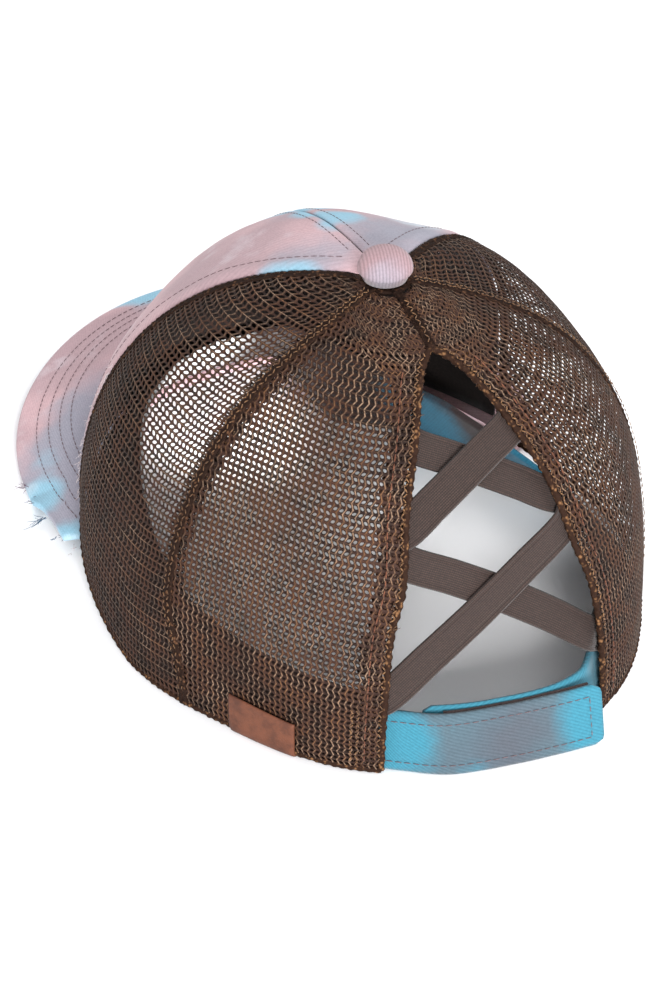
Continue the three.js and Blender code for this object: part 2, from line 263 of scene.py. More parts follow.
def finishMaterial(material, shader, colour, height, strength, distance, invert=False):
    tree = material.node_tree
    relief = {"Height": height, "Strength": strength, "Distance": distance}
    bump = addNode(tree, "ShaderNodeBump", relief, invert=invert)
    tree.links.new(colour, shader.inputs["Base Color"])
    tree.links.new(bump.outputs["Normal"], shader.inputs["Normal"])
    return material


def maths(tree, operation, *values):
    return addNode(tree, "ShaderNodeMath", dict(enumerate(values)), operation=operation).outputs[0]


def times(tree, first, second):
    return maths(tree, "MULTIPLY", first, second)


def mixColours(tree, factor, first, second):
    return addNode(tree, "ShaderNodeMix", {0: factor, 6: first, 7: second}, data_type="RGBA").outputs[2]


def mapRange(tree, value, fromLow, fromHigh, toLow=0.0, toHigh=1.0):
    values = {0: value, 1: fromLow, 2: fromHigh, 3: toLow, 4: toHigh}
    return addNode(tree, "ShaderNodeMapRange", values, interpolation_type="SMOOTHSTEP").outputs[0]


def noiseOf(tree, vector, scale, detail, rough):
    values = {"Vector": vector, "Scale": scale, "Detail": detail, "Roughness": rough}
    return addNode(tree, "ShaderNodeTexNoise", values).outputs["Fac"]


def cellsOf(tree, vector, scale, spread=1.0):
    values = {"Vector": vector, "Scale": scale, "Randomness": spread}
    return addNode(tree, "ShaderNodeTexVoronoi", values, feature="F1").outputs["Distance"]


def clothMap(tree):
    return addNode(tree, "ShaderNodeUVMap", uv_map="cloth").outputs["UV"]


def rgb(red, green, blue):  # an 8-bit display colour as the linear one that shaders take
    def linear(value):
        value /= 255
        return value / 12.92 if value <= 0.04045 else ((value + 0.055) / 1.055) ** 2.4

    return (linear(red), linear(green), linear(blue), 1.0)


def dyes(**colours):
    return {name: rgb(*colour) for name, colour in colours.items()}


twillColours = dyes(
    pink=(192, 158, 162), mauve=(172, 143, 148), lavender=(148, 146, 158),
    pale=(200, 184, 190), cyan=(138, 182, 202), white=(206, 222, 230),
)
# painted shade: the button's pink, mauve and pale are the crown's dyes made darker, against the key light
# that falls strongly on it
buttonColours = {**twillColours, **dyes(pink=(164, 134, 138), mauve=(142, 118, 124), pale=(170, 150, 156))}
closureColours = dyes(
    pink=(78, 98, 108), mauve=(76, 88, 98), lavender=(80, 82, 90),
    pale=(74, 108, 122), cyan=(56, 124, 144), white=(100, 146, 158),
)
bandColours = dyes(
    pink=(60, 50, 50), mauve=(44, 35, 34), lavender=(58, 54, 60),
    pale=(66, 58, 58), cyan=(48, 120, 148), white=(236, 236, 236),
)
twill = {"ribPitch": 0.95, "blotch": 24.0, "smallBlotch": 60.0, "fibre": 1500.0}
dyeTable = tableOf(
    "patch colour low high",
    ("grey", "lavender", 0.05, 0.95), ("cyan", "cyan", 0.12, 0.85), ("white", "white", 0.2, 1.0),
)


def twillMaterial(name, colours, ribAngle, dip=0.08, relief=0.35, ribPitch=twill["ribPitch"]):
    material, tree, shader, place = startMaterial(name, 0.88, 0.2, 0.15)
    turning = {"Vector": clothMap(tree), "Rotation": (0, 0, math.radians(ribAngle))}
    turned = addNode(tree, "ShaderNodeMapping", turning).outputs["Vector"]
    wave = {"Vector": turned, "Scale": 0.31416 / ribPitch, "Distortion": 0.5, "Detail": 1, "Detail Scale": 2}
    ribs = addNode(tree, "ShaderNodeTexWave", wave, wave_type="BANDS", bands_direction="X").outputs["Fac"]
    blotch = noiseOf(tree, place, twill["blotch"], 2.0, 0.55)
    small = noiseOf(tree, place, twill["smallBlotch"], 3.0, 0.6)
    fibre = noiseOf(tree, place, twill["fibre"], 2.0, 0.6)
    ground = mixColours(tree, mapRange(tree, blotch, 0.42, 0.6), colours["pink"], colours["mauve"])
    ground = mixColours(tree, mapRange(tree, small, 0.5, 0.72, 0.0, 0.6), ground, colours["pale"])
    wander = times(tree, maths(tree, "SUBTRACT", small, 0.5), 0.9)
    for row in dyeTable:
        painted = addNode(tree, "ShaderNodeAttribute", attribute_name=row["patch"]).outputs["Fac"]
        share = mapRange(tree, maths(tree, "ADD", painted, wander), row["low"], row["high"])
        ground = mixColours(tree, share, ground, colours[row["colour"]])
    shade = mapRange(tree, ribs, 0.1, 0.8, 1.0 - dip, 1.0)
    shade = times(tree, shade, mapRange(tree, fibre, 0.3, 0.7, 0.9, 1.05))
    colour = addNode(tree, "ShaderNodeHueSaturation", {"Color": ground, "Value": shade}).outputs["Color"]
    height = maths(tree, "ADD", ribs, times(tree, fibre, 0.6))
    return finishMaterial(material, shader, colour, height, relief, 0.00012)


crownTwill = twillMaterial("crown_twill", twillColours, 58)
visorTwill = twillMaterial("visor_twill", twillColours, 20, 0.05, 0.25)
buttonTwill = twillMaterial("button_twill", buttonColours, 15, 0.24, 0.6)
closureTwill = twillMaterial("closure_twill", closureColours, -60, 0.16, 0.5)
bandTwill = twillMaterial("band_twill", bandColours, 40, ribPitch=1.0)

# tan and gold are the colours of the painted highlight on the net's raised threads
netColours = dyes(dark=(30, 19, 15), brown=(54, 35, 28), tan=(150, 122, 100), gold=(116, 82, 54))
net = {
    "pillarPitch": 1.85, "rungPitch": 1.9, "zigzag": 0.24, "backBar": 0.51, "sideBar": 0.3, "ridge": 0.22,
    "pillarShare": 0.08, "depth": 0.5, "foldDepth": 1.2, "foldWidth": 8.0, "seamFold": 4.5, "halfWidth": 52,
    "edgeGap": 0.6, "seamGap": 0.4, "topGap": 0.03, "backFoldDown": crown["openingTop"] * 0.6,
    "sideFoldDown": 0.14, "wobble": 0.12, "hemGap": 0.15,
}


# The shares say which of the net's two threads catches the light
def netMaterial(name, rungShare, pillarShare):
    material, tree, shader, place = startMaterial(name, 0.65, 0.12)
    parts = addNode(tree, "ShaderNodeSeparateXYZ", {0: clothMap(tree)})
    across, up = parts.outputs["X"], parts.outputs["Y"]
    sway = maths(tree, "SUBTRACT", 0.5, maths(tree, "PINGPONG", up, 1.0))
    rung = maths(tree, "SUBTRACT", across, times(tree, sway, 2 * net["zigzag"]))
    rung = maths(tree, "PINGPONG", rung, 0.5)
    pillar = times(tree, maths(tree, "PINGPONG", times(tree, up, 0.5), 0.5), 2.0)
    rungLine = mapRange(tree, rung, 0.03, 0.17, rungShare, 0.0)
    pillarLine = mapRange(tree, pillar, 0.02, 0.1, pillarShare, 0.0)
    worn = noiseOf(tree, place, 160.0, 2.0, 0.6)
    fine = noiseOf(tree, place, 1300.0, 3.0, 0.7)
    patchy = mapRange(tree, noiseOf(tree, place, 60.0, 2.0, 0.6), 0.35, 0.65, 0.45, 1.0)
    share = maths(tree, "MAXIMUM", rungLine, pillarLine)
    share = times(tree, share, mapRange(tree, fine, 0.36, 0.6, 0.1, 1.0))
    share = times(tree, share, patchy)
    ground = mixColours(tree, mapRange(tree, worn, 0.35, 0.65), netColours["dark"], netColours["brown"])
    # painted highlight: the raised threads are tan and gold where they catch the light, dark and brown
    # elsewhere
    light = mixColours(tree, mapRange(tree, worn, 0.4, 0.6), netColours["tan"], netColours["gold"])
    return finishMaterial(material, shader, mixColours(tree, share, ground, light), fine, 0.4, 0.0001)


def knitMaterial(name, ground, light, share):  # folded net seen edge on: dense, with a few lighter loops
    material, tree, shader, place = startMaterial(name, 0.75, 0.08)
    loops = cellsOf(tree, place, 800.0, 0.9)
    worn = noiseOf(tree, place, 420.0, 2.0, 0.6)
    lit = times(tree, mapRange(tree, loops, 0.1, 0.6, 1.0, 0.0), mapRange(tree, worn, 0.45, 0.62))
    colour = mixColours(tree, times(tree, lit, share), rgb(*ground), rgb(*light))
    return finishMaterial(material, shader, colour, loops, 0.9, 0.0005, True)


def clothMaterial(name, colour, lighter, pitch=0.4):  # a plain fine weave
    material, tree, shader, place = startMaterial(name, 0.85, 0.25, 0.1)
    weave = noiseOf(tree, place, 1000 / pitch, 2.0, 0.6)
    worn = noiseOf(tree, place, 60.0, 3.0, 0.6)
    tone = times(tree, mapRange(tree, weave, 0.35, 0.65), mapRange(tree, worn, 0.3, 0.7, 0.4, 1.0))
    mixed = mixColours(tree, tone, rgb(*colour), rgb(*lighter))
    return finishMaterial(material, shader, mixed, weave, 0.4, 0.00015)


def elasticMaterial():
    material, tree, shader, place = startMaterial("elastic_rib", 0.72, 0.3, 0.15)
    parts = addNode(tree, "ShaderNodeSeparateXYZ", {0: clothMap(tree)})
    cord = maths(tree, "PINGPONG", maths(tree, "DIVIDE", parts.outputs["Y"], 0.62), 0.5)
    ribs = maths(tree, "ADD", maths(tree, "DIVIDE", parts.outputs["X"], 0.5), times(tree, cord, 1.2))
    height = maths(tree, "ADD", times(tree, cord, 1.4), maths(tree, "PINGPONG", ribs, 0.5))
    fine = noiseOf(tree, place, 1400.0, 2.0, 0.6)
    # painted shade: darker in the grooves between the cords and ribs, lighter on their raised tops; the fine
    # noise varies the tone at random
    tone = times(tree, mapRange(tree, height, 0.2, 1.0), mapRange(tree, fine, 0.3, 0.7, 0.5, 1.0))
    colour = mixColours(tree, tone, rgb(27, 19, 16), rgb(68, 50, 44))
    return finishMaterial(material, shader, colour, height, 0.7, 0.0002)


def leatherMaterial():
    material, tree, shader, place = startMaterial("label_leather", 0.6, 0.35)
    grain = cellsOf(tree, place, 1900.0)
    worn = noiseOf(tree, place, 180.0, 4.0, 0.65)
    tone = mixColours(tree, mapRange(tree, worn, 0.3, 0.7), rgb(74, 40, 26), rgb(102, 58, 38))
    return finishMaterial(material, shader, tone, maths(tree, "ADD", grain, worn), 0.35, 0.0002)


backNet = netMaterial("back_net_thread", 0.95, 0.2)
sideNet = netMaterial("side_net_thread", 0.42, 1.0)
goldThread = clothMaterial("gold_thread", (66, 44, 30), (142, 104, 68))
rustThread = clothMaterial("rust_thread", (76, 44, 32), (124, 76, 52))
paleThread = clothMaterial("pale_thread", (176, 158, 160), (226, 218, 220))
seamKnit = knitMaterial("seam_knit", (36, 23, 17), (98, 68, 48), 0.9)
edgeKnit = knitMaterial("edge_knit", (44, 28, 20), (128, 92, 62), 1.0)
bandOutside = clothMaterial("band_outside", (40, 28, 24), (62, 46, 38), 0.7)
liningCloth = clothMaterial("lining_cloth", (24, 18, 16), (36, 28, 26), 0.8)
hookTape = clothMaterial("hook_tape_pile", (38, 28, 28), (66, 52, 50), 0.5)
stitchThread = clothMaterial("stitch_thread", (86, 68, 72), (118, 98, 102))
frayBlue = clothMaterial("fray_blue", (52, 74, 98), (84, 112, 134))
frayPurple = clothMaterial("fray_purple", (78, 58, 74), (118, 96, 110))
elasticRib = elasticMaterial()
labelLeather = leatherMaterial()
print("materials done")


# Meshes

def noiseAt(x, y, z):
    return noise.noise(Vector((x, y, z)))


def placeObject(name, data):
    obj = bpy.data.objects.new(name, data)
    bpy.context.scene.collection.objects.link(obj)
    return obj


def addObject(name, bm, materials, nodes=()):
    mesh = bpy.data.meshes.new(name)
    bm.to_mesh(mesh)
    bm.free()
    for polygon in mesh.polygons:
        polygon.use_smooth = True
    for material in materials:
        mesh.materials.append(material)
    obj = placeObject(name, mesh)
    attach(obj, "root")
    if nodes:
        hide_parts(*nodes)
    return obj


# place(u, v) gives a point in mm, the outward direction and the cloth's own flat coordinates in mm
def clothGrid(columns, rows, place, joinAcross=False):
    bm = bmesh.new()
    bmesh.ops.create_grid(bm, x_segments=columns, y_segments=rows, size=0.5)
    uvLayer = bm.loops.layers.uv.new("cloth")
    flat, facing = {}, {}
    for vert in bm.verts:
        point, out, cloth = place(vert.co.x + 0.5, vert.co.y + 0.5)
        vert.co = point * mm
        flat[vert], facing[vert] = cloth, out
    for face in bm.faces:
        for loop in face.loops:
            loop[uvLayer].uv = flat[loop.vert]
    bm.normal_update()
    if sum(face.normal.dot(facing[face.verts[0]]) for face in bm.faces) < 0:
        bmesh.ops.reverse_faces(bm, faces=bm.faces[:])
    if joinAcross:
        bmesh.ops.remove_doubles(bm, verts=bm.verts[:], dist=1e-6)
    return bm


def thicken(obj, wall, inner=0):
    solid = obj.modifiers.new("wall", "SOLIDIFY")
    solid.thickness = wall * mm
    solid.offset = -1
    solid.use_even_offset = False
    solid.material_offset = inner
    solid.material_offset_rim = inner
    return obj


def soften(obj, levels=1):
    surface = obj.modifiers.new("soft", "SUBSURF")
    surface.levels = levels
    surface.render_levels = levels
    return obj


# Soft patches of dye: rows of x, y, z, radius and strength, in mm from the part's own origin
def paint(obj, **patches):
    for name, rows in patches.items():
        layer = obj.data.attributes.new(name, "FLOAT", "POINT")
        for index, vert in enumerate(obj.data.vertices):
            point = vert.co / mm - Vector((0, shiftY, 0))
            value = sum(
                row[4] * max(0, 1 - (point - Vector(row[:3])).length_squared / row[3] ** 2) for row in rows
            )
            layer.data[index].value = min(value, 1)


# Net panels: a real net of straight pillars and zigzag rungs, laid on the crown from the hem up

def arcUp(angle, steps=160):
    top = topDown(angle)
    points = [(down, crownOuter(angle, down)) for down in (mix(1, top, k / steps) for k in range(steps + 1))]
    rows, length = [(0.0, 1.0)], 0.0
    for (_, before), (down, here) in zip(points, points[1:]):
        length += (here - before).length
        rows.append((length, down))
    return rows


def lookUp(rows, length):
    low, high = 0, len(rows) - 1
    while high - low > 1:
        middle = (low + high) // 2
        if rows[middle][0] > length:
            high = middle
        else:
            low = middle
    span = rows[high][0] - rows[low][0]
    return mix(rows[low][1], rows[high][1], min(max((length - rows[low][0]) / span, 0), 1))


def netPiece(middle, side, inside, barHalf, depth, phase=(0.0, 0.0)):
    rowsUp = arcUp(middle)

    def toCrown(x, y):
        down = lookUp(rowsUp, y)
        around = spanAngle(x, side * middle, down)
        around = spanAngle(x, side * (middle + around / 2), down)
        return side * (middle + around), down

    rows = int(rowsUp[-1][0] / net["pillarPitch"]) - 1
    columns = 2 * int(net["halfWidth"] / net["rungPitch"])
    bm = bmesh.new()
    bmesh.ops.create_grid(bm, x_segments=columns, y_segments=rows, size=0.5)
    for vert in bm.verts:
        i = round((vert.co.x + 0.5) * columns) - columns // 2
        j = round((vert.co.y + 0.5) * rows)
        zig = net["zigzag"] if j % 2 == 0 else -net["zigzag"]
        vert.co = ((i + zig + phase[0]) * net["rungPitch"], (j + phase[1]) * net["pillarPitch"], 0)
    outside = [face for face in bm.faces if not inside(*toCrown(*face.calc_center_median().xy))]
    bmesh.ops.delete(bm, geom=outside, context="FACES")
    isNode = bm.verts.layers.int.new("node")
    for vert in bm.verts:
        vert[isNode] = 1 if vert.is_boundary else 2
    cells = bm.faces[:]
    bmesh.ops.inset_individual(bm, faces=cells, thickness=barHalf, use_even_offset=True)
    bmesh.ops.delete(bm, geom=cells, context="FACES")
    for vert in bm.verts:
        if len(vert.link_edges) == 3 and not onNode(vert, phase):
            vert[isNode] = 0
    for vert in bm.verts:
        if vert[isNode] == 0:
            row = vert.co.y / net["pillarPitch"] - phase[1]
            nearest = round(row)
            extra = net["pillarShare"] if nearest % 2 == 0 else -net["pillarShare"]
            vert.co.y += math.copysign(extra, row - nearest)
    copy = bmesh.ops.duplicate(bm, geom=bm.faces[:])
    under = [item for item in copy["geom"] if isinstance(item, bmesh.types.BMVert)]
    bmesh.ops.reverse_faces(bm, faces=[item for item in copy["geom"] if isinstance(item, bmesh.types.BMFace)])
    for vert in bm.verts:
        vert.co.z = net["ridge"] if vert[isNode] == 2 else 0
    for vert in under:
        vert.co.z = -vert.co.z
    bmesh.ops.remove_doubles(bm, verts=bm.verts[:], dist=0.001)
    uvLayer = bm.loops.layers.uv.new("cloth")
    for face in bm.faces:
        for loop in face.loops:
            co = loop.vert.co
            loop[uvLayer].uv = (co.x / net["rungPitch"] - phase[0], co.y / net["pillarPitch"] - phase[1])
    for vert in bm.verts:
        x, y, z = vert.co
        angle, down = toCrown(x, y)
        wobble = noise.noise(Vector((x, y, side * 40)) * 0.35) * net["wobble"]
        point = crownPoint(angle, down, depth - z + wobble)
        point.z = max(point.z, net["hemGap"])
        vert.co = point * mm
    bmesh.ops.recalc_face_normals(bm, faces=bm.faces[:])
    return bm


def onNode(vert, phase):  # whether a vertex lies where a rung crosses a pillar
    row = vert.co.y / net["pillarPitch"] - phase[1]
    return abs(row - round(row)) < 0.02


def edgeGap(angle, down, width):  # whether a place is at least this far outside the opening
    return abs(angle) > openingEdge(down) + spanAngle(width, 0, down)


def pastSeam(seamAngle, down, width):  # the angle so many mm past a seam, or before it
    return seamAngle + spanAngle(width, seamAngle, down)


def inBack(angle, down):
    clear = edgeGap(angle, down, net["edgeGap"]) and down > net["topGap"]
    return clear and abs(angle) < pastSeam(sideSeam(down), down, -net["seamGap"])


def inSide(angle, down):
    low = pastSeam(sideSeam(down), down, net["seamGap"])
    return low < abs(angle) < pastSeam(crown["frontSeam"], down, -net["seamGap"]) and down > net["topGap"]


def inBackFold(angle, down):
    nearOpening = down > crown["openingTop"] and not edgeGap(angle, down, net["foldWidth"])
    nearSeam = abs(angle) > pastSeam(sideSeam(down), down, -net["seamFold"])
    return inBack(angle, down) and (nearOpening or nearSeam or down < net["backFoldDown"])


def inSideFold(angle, down):
    nearBack = abs(angle) < pastSeam(sideSeam(down), down, net["seamFold"])
    nearFront = abs(angle) > pastSeam(crown["frontSeam"], down, -net["seamFold"])
    return inSide(angle, down) and (nearBack or nearFront or down < net["sideFoldDown"])


hands = ((1, "left"), (-1, "right"))
netTable = tableOf(
    "part middle inside fold thread bar",
    ("back", 48, inBack, inBackFold, backNet, net["backBar"]),
    ("side", 99, inSide, inSideFold, sideNet, net["sideBar"]),
)
for side, hand in hands:
    for row in netTable:
        part, threads = row["part"], [row["thread"]]
        single = netPiece(row["middle"], side, row["inside"], row["bar"], net["depth"])
        panel = addObject(f"{part}_net_{hand}", single, threads, [f"{part}_panel_{hand}"])
        double = netPiece(row["middle"], side, row["fold"], row["bar"], net["foldDepth"], (0.5, 0.5))
        doubled = addObject(f"{part}_net_fold_{hand}", double, threads)
        soften(panel)
        print(panel.name, len(panel.data.polygons), doubled.name, len(doubled.data.polygons))


# Seam tapes over the joints between the panels, rolled net along the opening and the hem

seam = {
    "width": 3.2, "frontWidth": 2.6, "frontInset": 1.6, "backWidth": 3.0, "lift": 0.2, "dome": 0.3,
    "wall": 0.9, "rows": 200, "crease": 0.35, "hemGap": 0.2,
}
roll = {
    "edgeDepth": 0.9, "edgeRadius": 1.0, "hemDepth": 0.8, "hemLift": 0.9, "hemRadius": 0.85, "hemGap": 0.1,
}


def seamTape(name, angleAt, width, startDown=0.05, endDown=1.0):
    def place(u, v):
        down = mix(startDown, endDown, v)
        angle = angleAt(down)
        angle += spanAngle((u - 0.5) * width, angle, down)
        out = crownNormal(angle, down)
        knots = 0.14 * math.sin(v * seam["rows"] * 2.1 + u * 4) + 0.3 * noiseAt(u * 5, v * 130, 0)
        knots -= seam["crease"] * math.exp(-(((u - 0.5) / 0.12) ** 2))  # the crease between the panels
        dome = seam["dome"] * (1 - (2 * u - 1) ** 2) + knots
        point = crownOuter(angle, down) + out * (seam["lift"] + dome - seam["wall"] / 2)
        point.z = max(point.z, seam["hemGap"])
        return point, out, (u * width, v * 150)

    return thicken(addObject(name, clothGrid(8, seam["rows"], place), [seamKnit]), seam["wall"])


# points: a list of place, outward direction; the roll is a knobbly tube round them
def edgeRoll(name, points, radius):
    def place(u, v):
        k = min(int(v * (len(points) - 1)), len(points) - 2)
        w = v * (len(points) - 1) - k
        centre = points[k][0].lerp(points[k + 1][0], w)
        out = points[k][1].lerp(points[k + 1][1], w).normalized()
        along = (points[k + 1][0] - points[k][0]).normalized()
        across = along.cross(out).normalized()
        turn = u * 2 * math.pi
        knob = 1 + 0.16 * math.sin(v * len(points) * 2.3 + turn) + 0.2 * noise.noise(centre * 0.7)
        ray = out * math.cos(turn) + across * math.sin(turn)
        point = centre + ray * radius * knob
        point.z = max(point.z, roll["hemGap"])
        return point, ray, (u * radius * 6, v * 150)

    return addObject(name, clothGrid(8, 2 * len(points), place, True), [edgeKnit])


for side, hand in hands:
    seamTape(f"side_seam_{hand}", lambda down: side * sideSeam(down), seam["width"])
    seamTape(
        f"front_seam_{hand}", lambda down: side * pastSeam(crown["frontSeam"], down, -seam["frontInset"]),
        seam["frontWidth"],
    )
    edge = []
    for down in spaced(crown["openingTop"], hemDown, 120):
        angle = side * openingEdge(down)
        edge.append((crownPoint(angle, down, roll["edgeDepth"]), crownNormal(angle, down)))
    edgeRoll(f"opening_roll_{hand}", edge, roll["edgeRadius"])
    hem = []
    for turn in spaced(openingEdge(1), crown["frontSeam"], 150):
        point = crownPoint(side * turn, 1, roll["hemDepth"])
        point.z += roll["hemLift"]
        hem.append((point, crownNormal(side * turn, 1)))
    edgeRoll(f"hem_roll_{hand}", hem, roll["hemRadius"])
seamTape("back_seam", lambda down: 0.0, seam["backWidth"], 0.04, crown["openingTop"] + 0.01)
print("seams done")


# Front panels

frontPanel = {"wall": 1.2, "columns": 44, "rows": 60, "wrinkle": 0.55, "edgeDip": 0.5, "seamDip": 4.0}


def frontSurface(angle, down):  # the twill's outer face, with its dips along the seams
    out = crownNormal(angle, down)
    across = levelRadius(angle, down) * math.radians(180 - abs(angle))
    toSide = levelRadius(angle, down) * math.radians(abs(angle) - crown["frontSeam"])
    dip = frontPanel["edgeDip"] * (math.exp(-abs(across) / 1.2) + math.exp(-abs(toSide) / 1.2))
    seamFall = 1 - math.exp(-max(min(across, toSide), 0) / frontPanel["seamDip"])
    spot = crownOuter(angle, down)
    wrinkle = frontPanel["wrinkle"] * noise.noise(spot * 0.045) + 0.16 * noise.noise(spot * 0.16)
    ridge = 0.28 * math.exp(-((abs(across) - 2.6) / 1.3) ** 2) + 0.3 * math.exp(-((toSide - 4.5) / 2.2) ** 2)
    return spot + out * (wrinkle * seamFall + ridge - dip), out, across


def frontPlace(side):
    def place(u, v):
        down = mix(topDown(side * mix(crown["frontSeam"], 180, u)), 1, v)
        gap = spanAngle(crown["clearance"] / 2, 180, down)
        point, out, across = frontSurface(side * mix(crown["frontSeam"] + gap, 180 - gap, u), down)
        return point, out, (side * across, down * 150)

    return place


frontPatches = {
    "left": {
        "cyan": [(26, -20, 106, 15, 0.95), (-3, -78, 96, 15, 1.1), (-2, -60, 104, 11, 1.0),
                 (-2, -44, 109, 10, 0.9)],
        "grey": [(14, -26, 110, 20, 0.7), (0, -66, 102, 16, 0.6), (34, -96, 50, 24, 0.5)],
        "white": [(2, -80, 96, 10, 0.8)],
    },
    "right": {
        "cyan": [(-4, -74, 98, 15, 1.1), (-4, -50, 108, 12, 0.9), (-46, -34, 94, 12, 0.9)],
        "grey": [(-18, -30, 108, 30, 0.9), (-50, -60, 70, 30, 0.7)],
        "white": [(-30, -44, 100, 14, 0.6)],
    },
}
for side, hand in hands:
    grid = clothGrid(frontPanel["columns"], frontPanel["rows"], frontPlace(side))
    panel = addObject(f"front_twill_{hand}", grid, [crownTwill], [f"front_panel_{hand}"])
    paint(panel, **frontPatches[hand])
    thicken(panel, frontPanel["wall"])
    soften(panel)


lining = {"top": 0.16, "foot": 0.96, "gap": 0.2, "wall": 1.1}


def liningPlace(u, v):
    down = mix(lining["top"], lining["foot"], v)
    angle = mix(crown["frontSeam"], 360 - crown["frontSeam"], u)
    depth = crown["wall"] + crown["clearance"] + lining["gap"]
    return crownPoint(angle, down, depth), crownNormal(angle, down), (u * 200, v * 120)


liningPiece = addObject(
    "front_lining_cloth", clothGrid(40, 30, liningPlace), [liningCloth], ["front_lining"]
)
thicken(liningPiece, lining["wall"])
print("front done")


# Button

button = {
    "radius": 8.1, "height": 8.5, "edge": 2.6, "steps": 14, "turns": 48, "shankRadius": 2.2, "shankLength": 3,
}
bm = bmesh.new()
base = crown["height"] + crown["clearance"]
profile = [(0.0, base - button["shankLength"]), (button["shankRadius"], base - button["shankLength"]),
           (button["shankRadius"], base - 0.4), (button["radius"] - 1.6, base - 0.6)]
for k in range(button["steps"] + 1):
    tilt = mix(-0.6, math.pi / 2, k / button["steps"])
    radius = 0 if k == button["steps"] else button["radius"] * math.cos(tilt) ** 0.8
    rise = (button["height"] - button["edge"] if tilt > 0 else button["edge"]) * math.sin(tilt)
    profile.append((radius, base + button["edge"] + rise))
verts = [bm.verts.new((radius, 0, height)) for radius, height in profile]
edges = [bm.edges.new(pair) for pair in zip(verts, verts[1:])]
bmesh.ops.spin(
    bm, geom=verts + edges, cent=(0, 0, 0), axis=(0, 0, 1), angle=2 * math.pi, steps=button["turns"],
    use_merge=True,
)
bmesh.ops.remove_doubles(bm, verts=bm.verts[:], dist=0.001)
uvLayer = bm.loops.layers.uv.new("cloth")
for face in bm.faces:
    for loop in face.loops:
        loop[uvLayer].uv = loop.vert.co.xy
bmesh.ops.transform(bm, verts=bm.verts[:], matrix=Matrix.Translation((0, shiftY - crown["apexSetback"], 0)))
bmesh.ops.scale(bm, verts=bm.verts[:], vec=(mm, mm, mm))
bmesh.ops.recalc_face_normals(bm, faces=bm.faces[:])
buttonPiece = addObject("covered_button", bm, [buttonTwill], ["button"])
paint(buttonPiece, grey=[(2, 2, 114, 10, 0.6)])


centre = {"reach": 2.6, "depth": 0.9, "wall": 0.8}


def centrePlace(u, v):
    angle = 360 * u
    reach = firstDown(lambda down: levelRadius(angle, down) > crown["holeRadius"] + centre["reach"])
    down = mix(0.25 * reach, reach, v)
    out = crownNormal(angle, down, False)
    return crownOuter(angle, down) - out * centre["depth"], out, (u * 20, v * 6)


thicken(addObject("crown_centre", clothGrid(36, 4, centrePlace, True), [seamKnit]), centre["wall"])
print("button done")


# Visor

visor = {
    "halfWidth": 89, "length": 68, "widest": 88, "thickness": 2.6, "tipHeight": 10.5, "arch": 4, "tuck": 5,
    "endAngle": 118, "endWidth": 5.5, "sideShare": 0.76, "endLift": 0.8, "power": 2.05, "columns": 96,
    "rows": 22, "stitchRows": [8.5, 13.2, 17.6, 22.0], "rimGap": 0.6,
}


def visorRim(across):
    angle = mix(180, visor["endAngle"], across)
    point = crownOuter(angle, 1)
    point.z -= visor["rimGap"]
    return point, crownNormal(angle, 1)


def visorEdge(across):
    side, share = math.copysign(1, across), abs(across)
    rimPoint, rimOut = visorRim(across)
    tip = -(crown["frontReach"] + visor["length"]) + shiftY
    widest = -visor["widest"] + shiftY
    if share <= visor["sideShare"]:
        tilt = share / visor["sideShare"] * math.pi / 2
        x = side * visor["halfWidth"] * math.sin(tilt) ** (2 / visor["power"])
        y = mix(widest, tip, max(math.cos(tilt), 0) ** (2 / visor["power"]))
    else:
        back = (share - visor["sideShare"]) / (1 - visor["sideShare"])
        corner = rimPoint + rimOut * visor["endWidth"]
        x = mix(side * visor["halfWidth"], corner.x, back ** 3.5)
        y = mix(widest, corner.y, back)
    level = visor["thickness"] + visor["tipHeight"] * (1 - min(abs(x) / visor["halfWidth"], 1) ** 2)
    return Vector((x, y, mix(level, rimPoint.z, ease(visor["sideShare"], 1, share) * visor["endLift"])))


def visorPoint(across, share):
    rimPoint, rimOut = visorRim(across)
    inner = rimPoint - rimOut * visor["tuck"]
    edge = visorEdge(across)
    wear = 0.7 * max(noiseAt(across * 42, 3, 0), 0) * ease(0.5, 0.75, abs(across))
    edge = edge - (edge - inner).normalized() * wear
    point = inner.lerp(edge, share)
    point.z += visor["arch"] * (1 - across * across) * math.sin(share * math.pi) ** 2
    return point, (edge - inner).length


def visorPlace(u, v):
    across = mix(1, -1, u)
    point, length = visorPoint(across, v)
    point.z += 0.25 * noise.noise(point * 0.05) * math.sin(v * math.pi)
    return point, Vector((0, 0, 1)), (point.x, (1 - v) * length)


visorPiece = addObject(
    "visor_cloth", clothGrid(visor["columns"], visor["rows"], visorPlace), [visorTwill], ["visor"]
)
paint(
    visorPiece,
    cyan=[(14, -182, 12, 15, 1.0), (28, -184, 11, 10, 0.8), (87, -84, 4, 13, 1.0), (84, -60, 3, 10, 0.9),
          (78, -100, 5, 9, 0.5), (-40, -160, 10, 22, 0.8)],
    grey=[(72, -88, 6, 32, 1.1), (80, -60, 4, 20, 0.9), (50, -120, 9, 22, 0.7), (64, -112, 8, 20, 0.5),
          (-60, -110, 6, 34, 0.8), (10, -165, 13, 18, 0.6)],
    white=[(84, -56, 2, 8, 0.9), (88, -92, 3, 6, 0.5)],
)
thicken(visorPiece, visor["thickness"])
soften(visorPiece)
print("visor done")


# Band inside the rim, dark outside and dyed inside

band = {
    "height": 21, "hangReach": 12, "hangLow": 1.2, "lean": 17, "wall": 1.4, "curl": 1.2, "wave": 0.9,
    "columns": 150, "rows": 8, "start": 30.0,
}


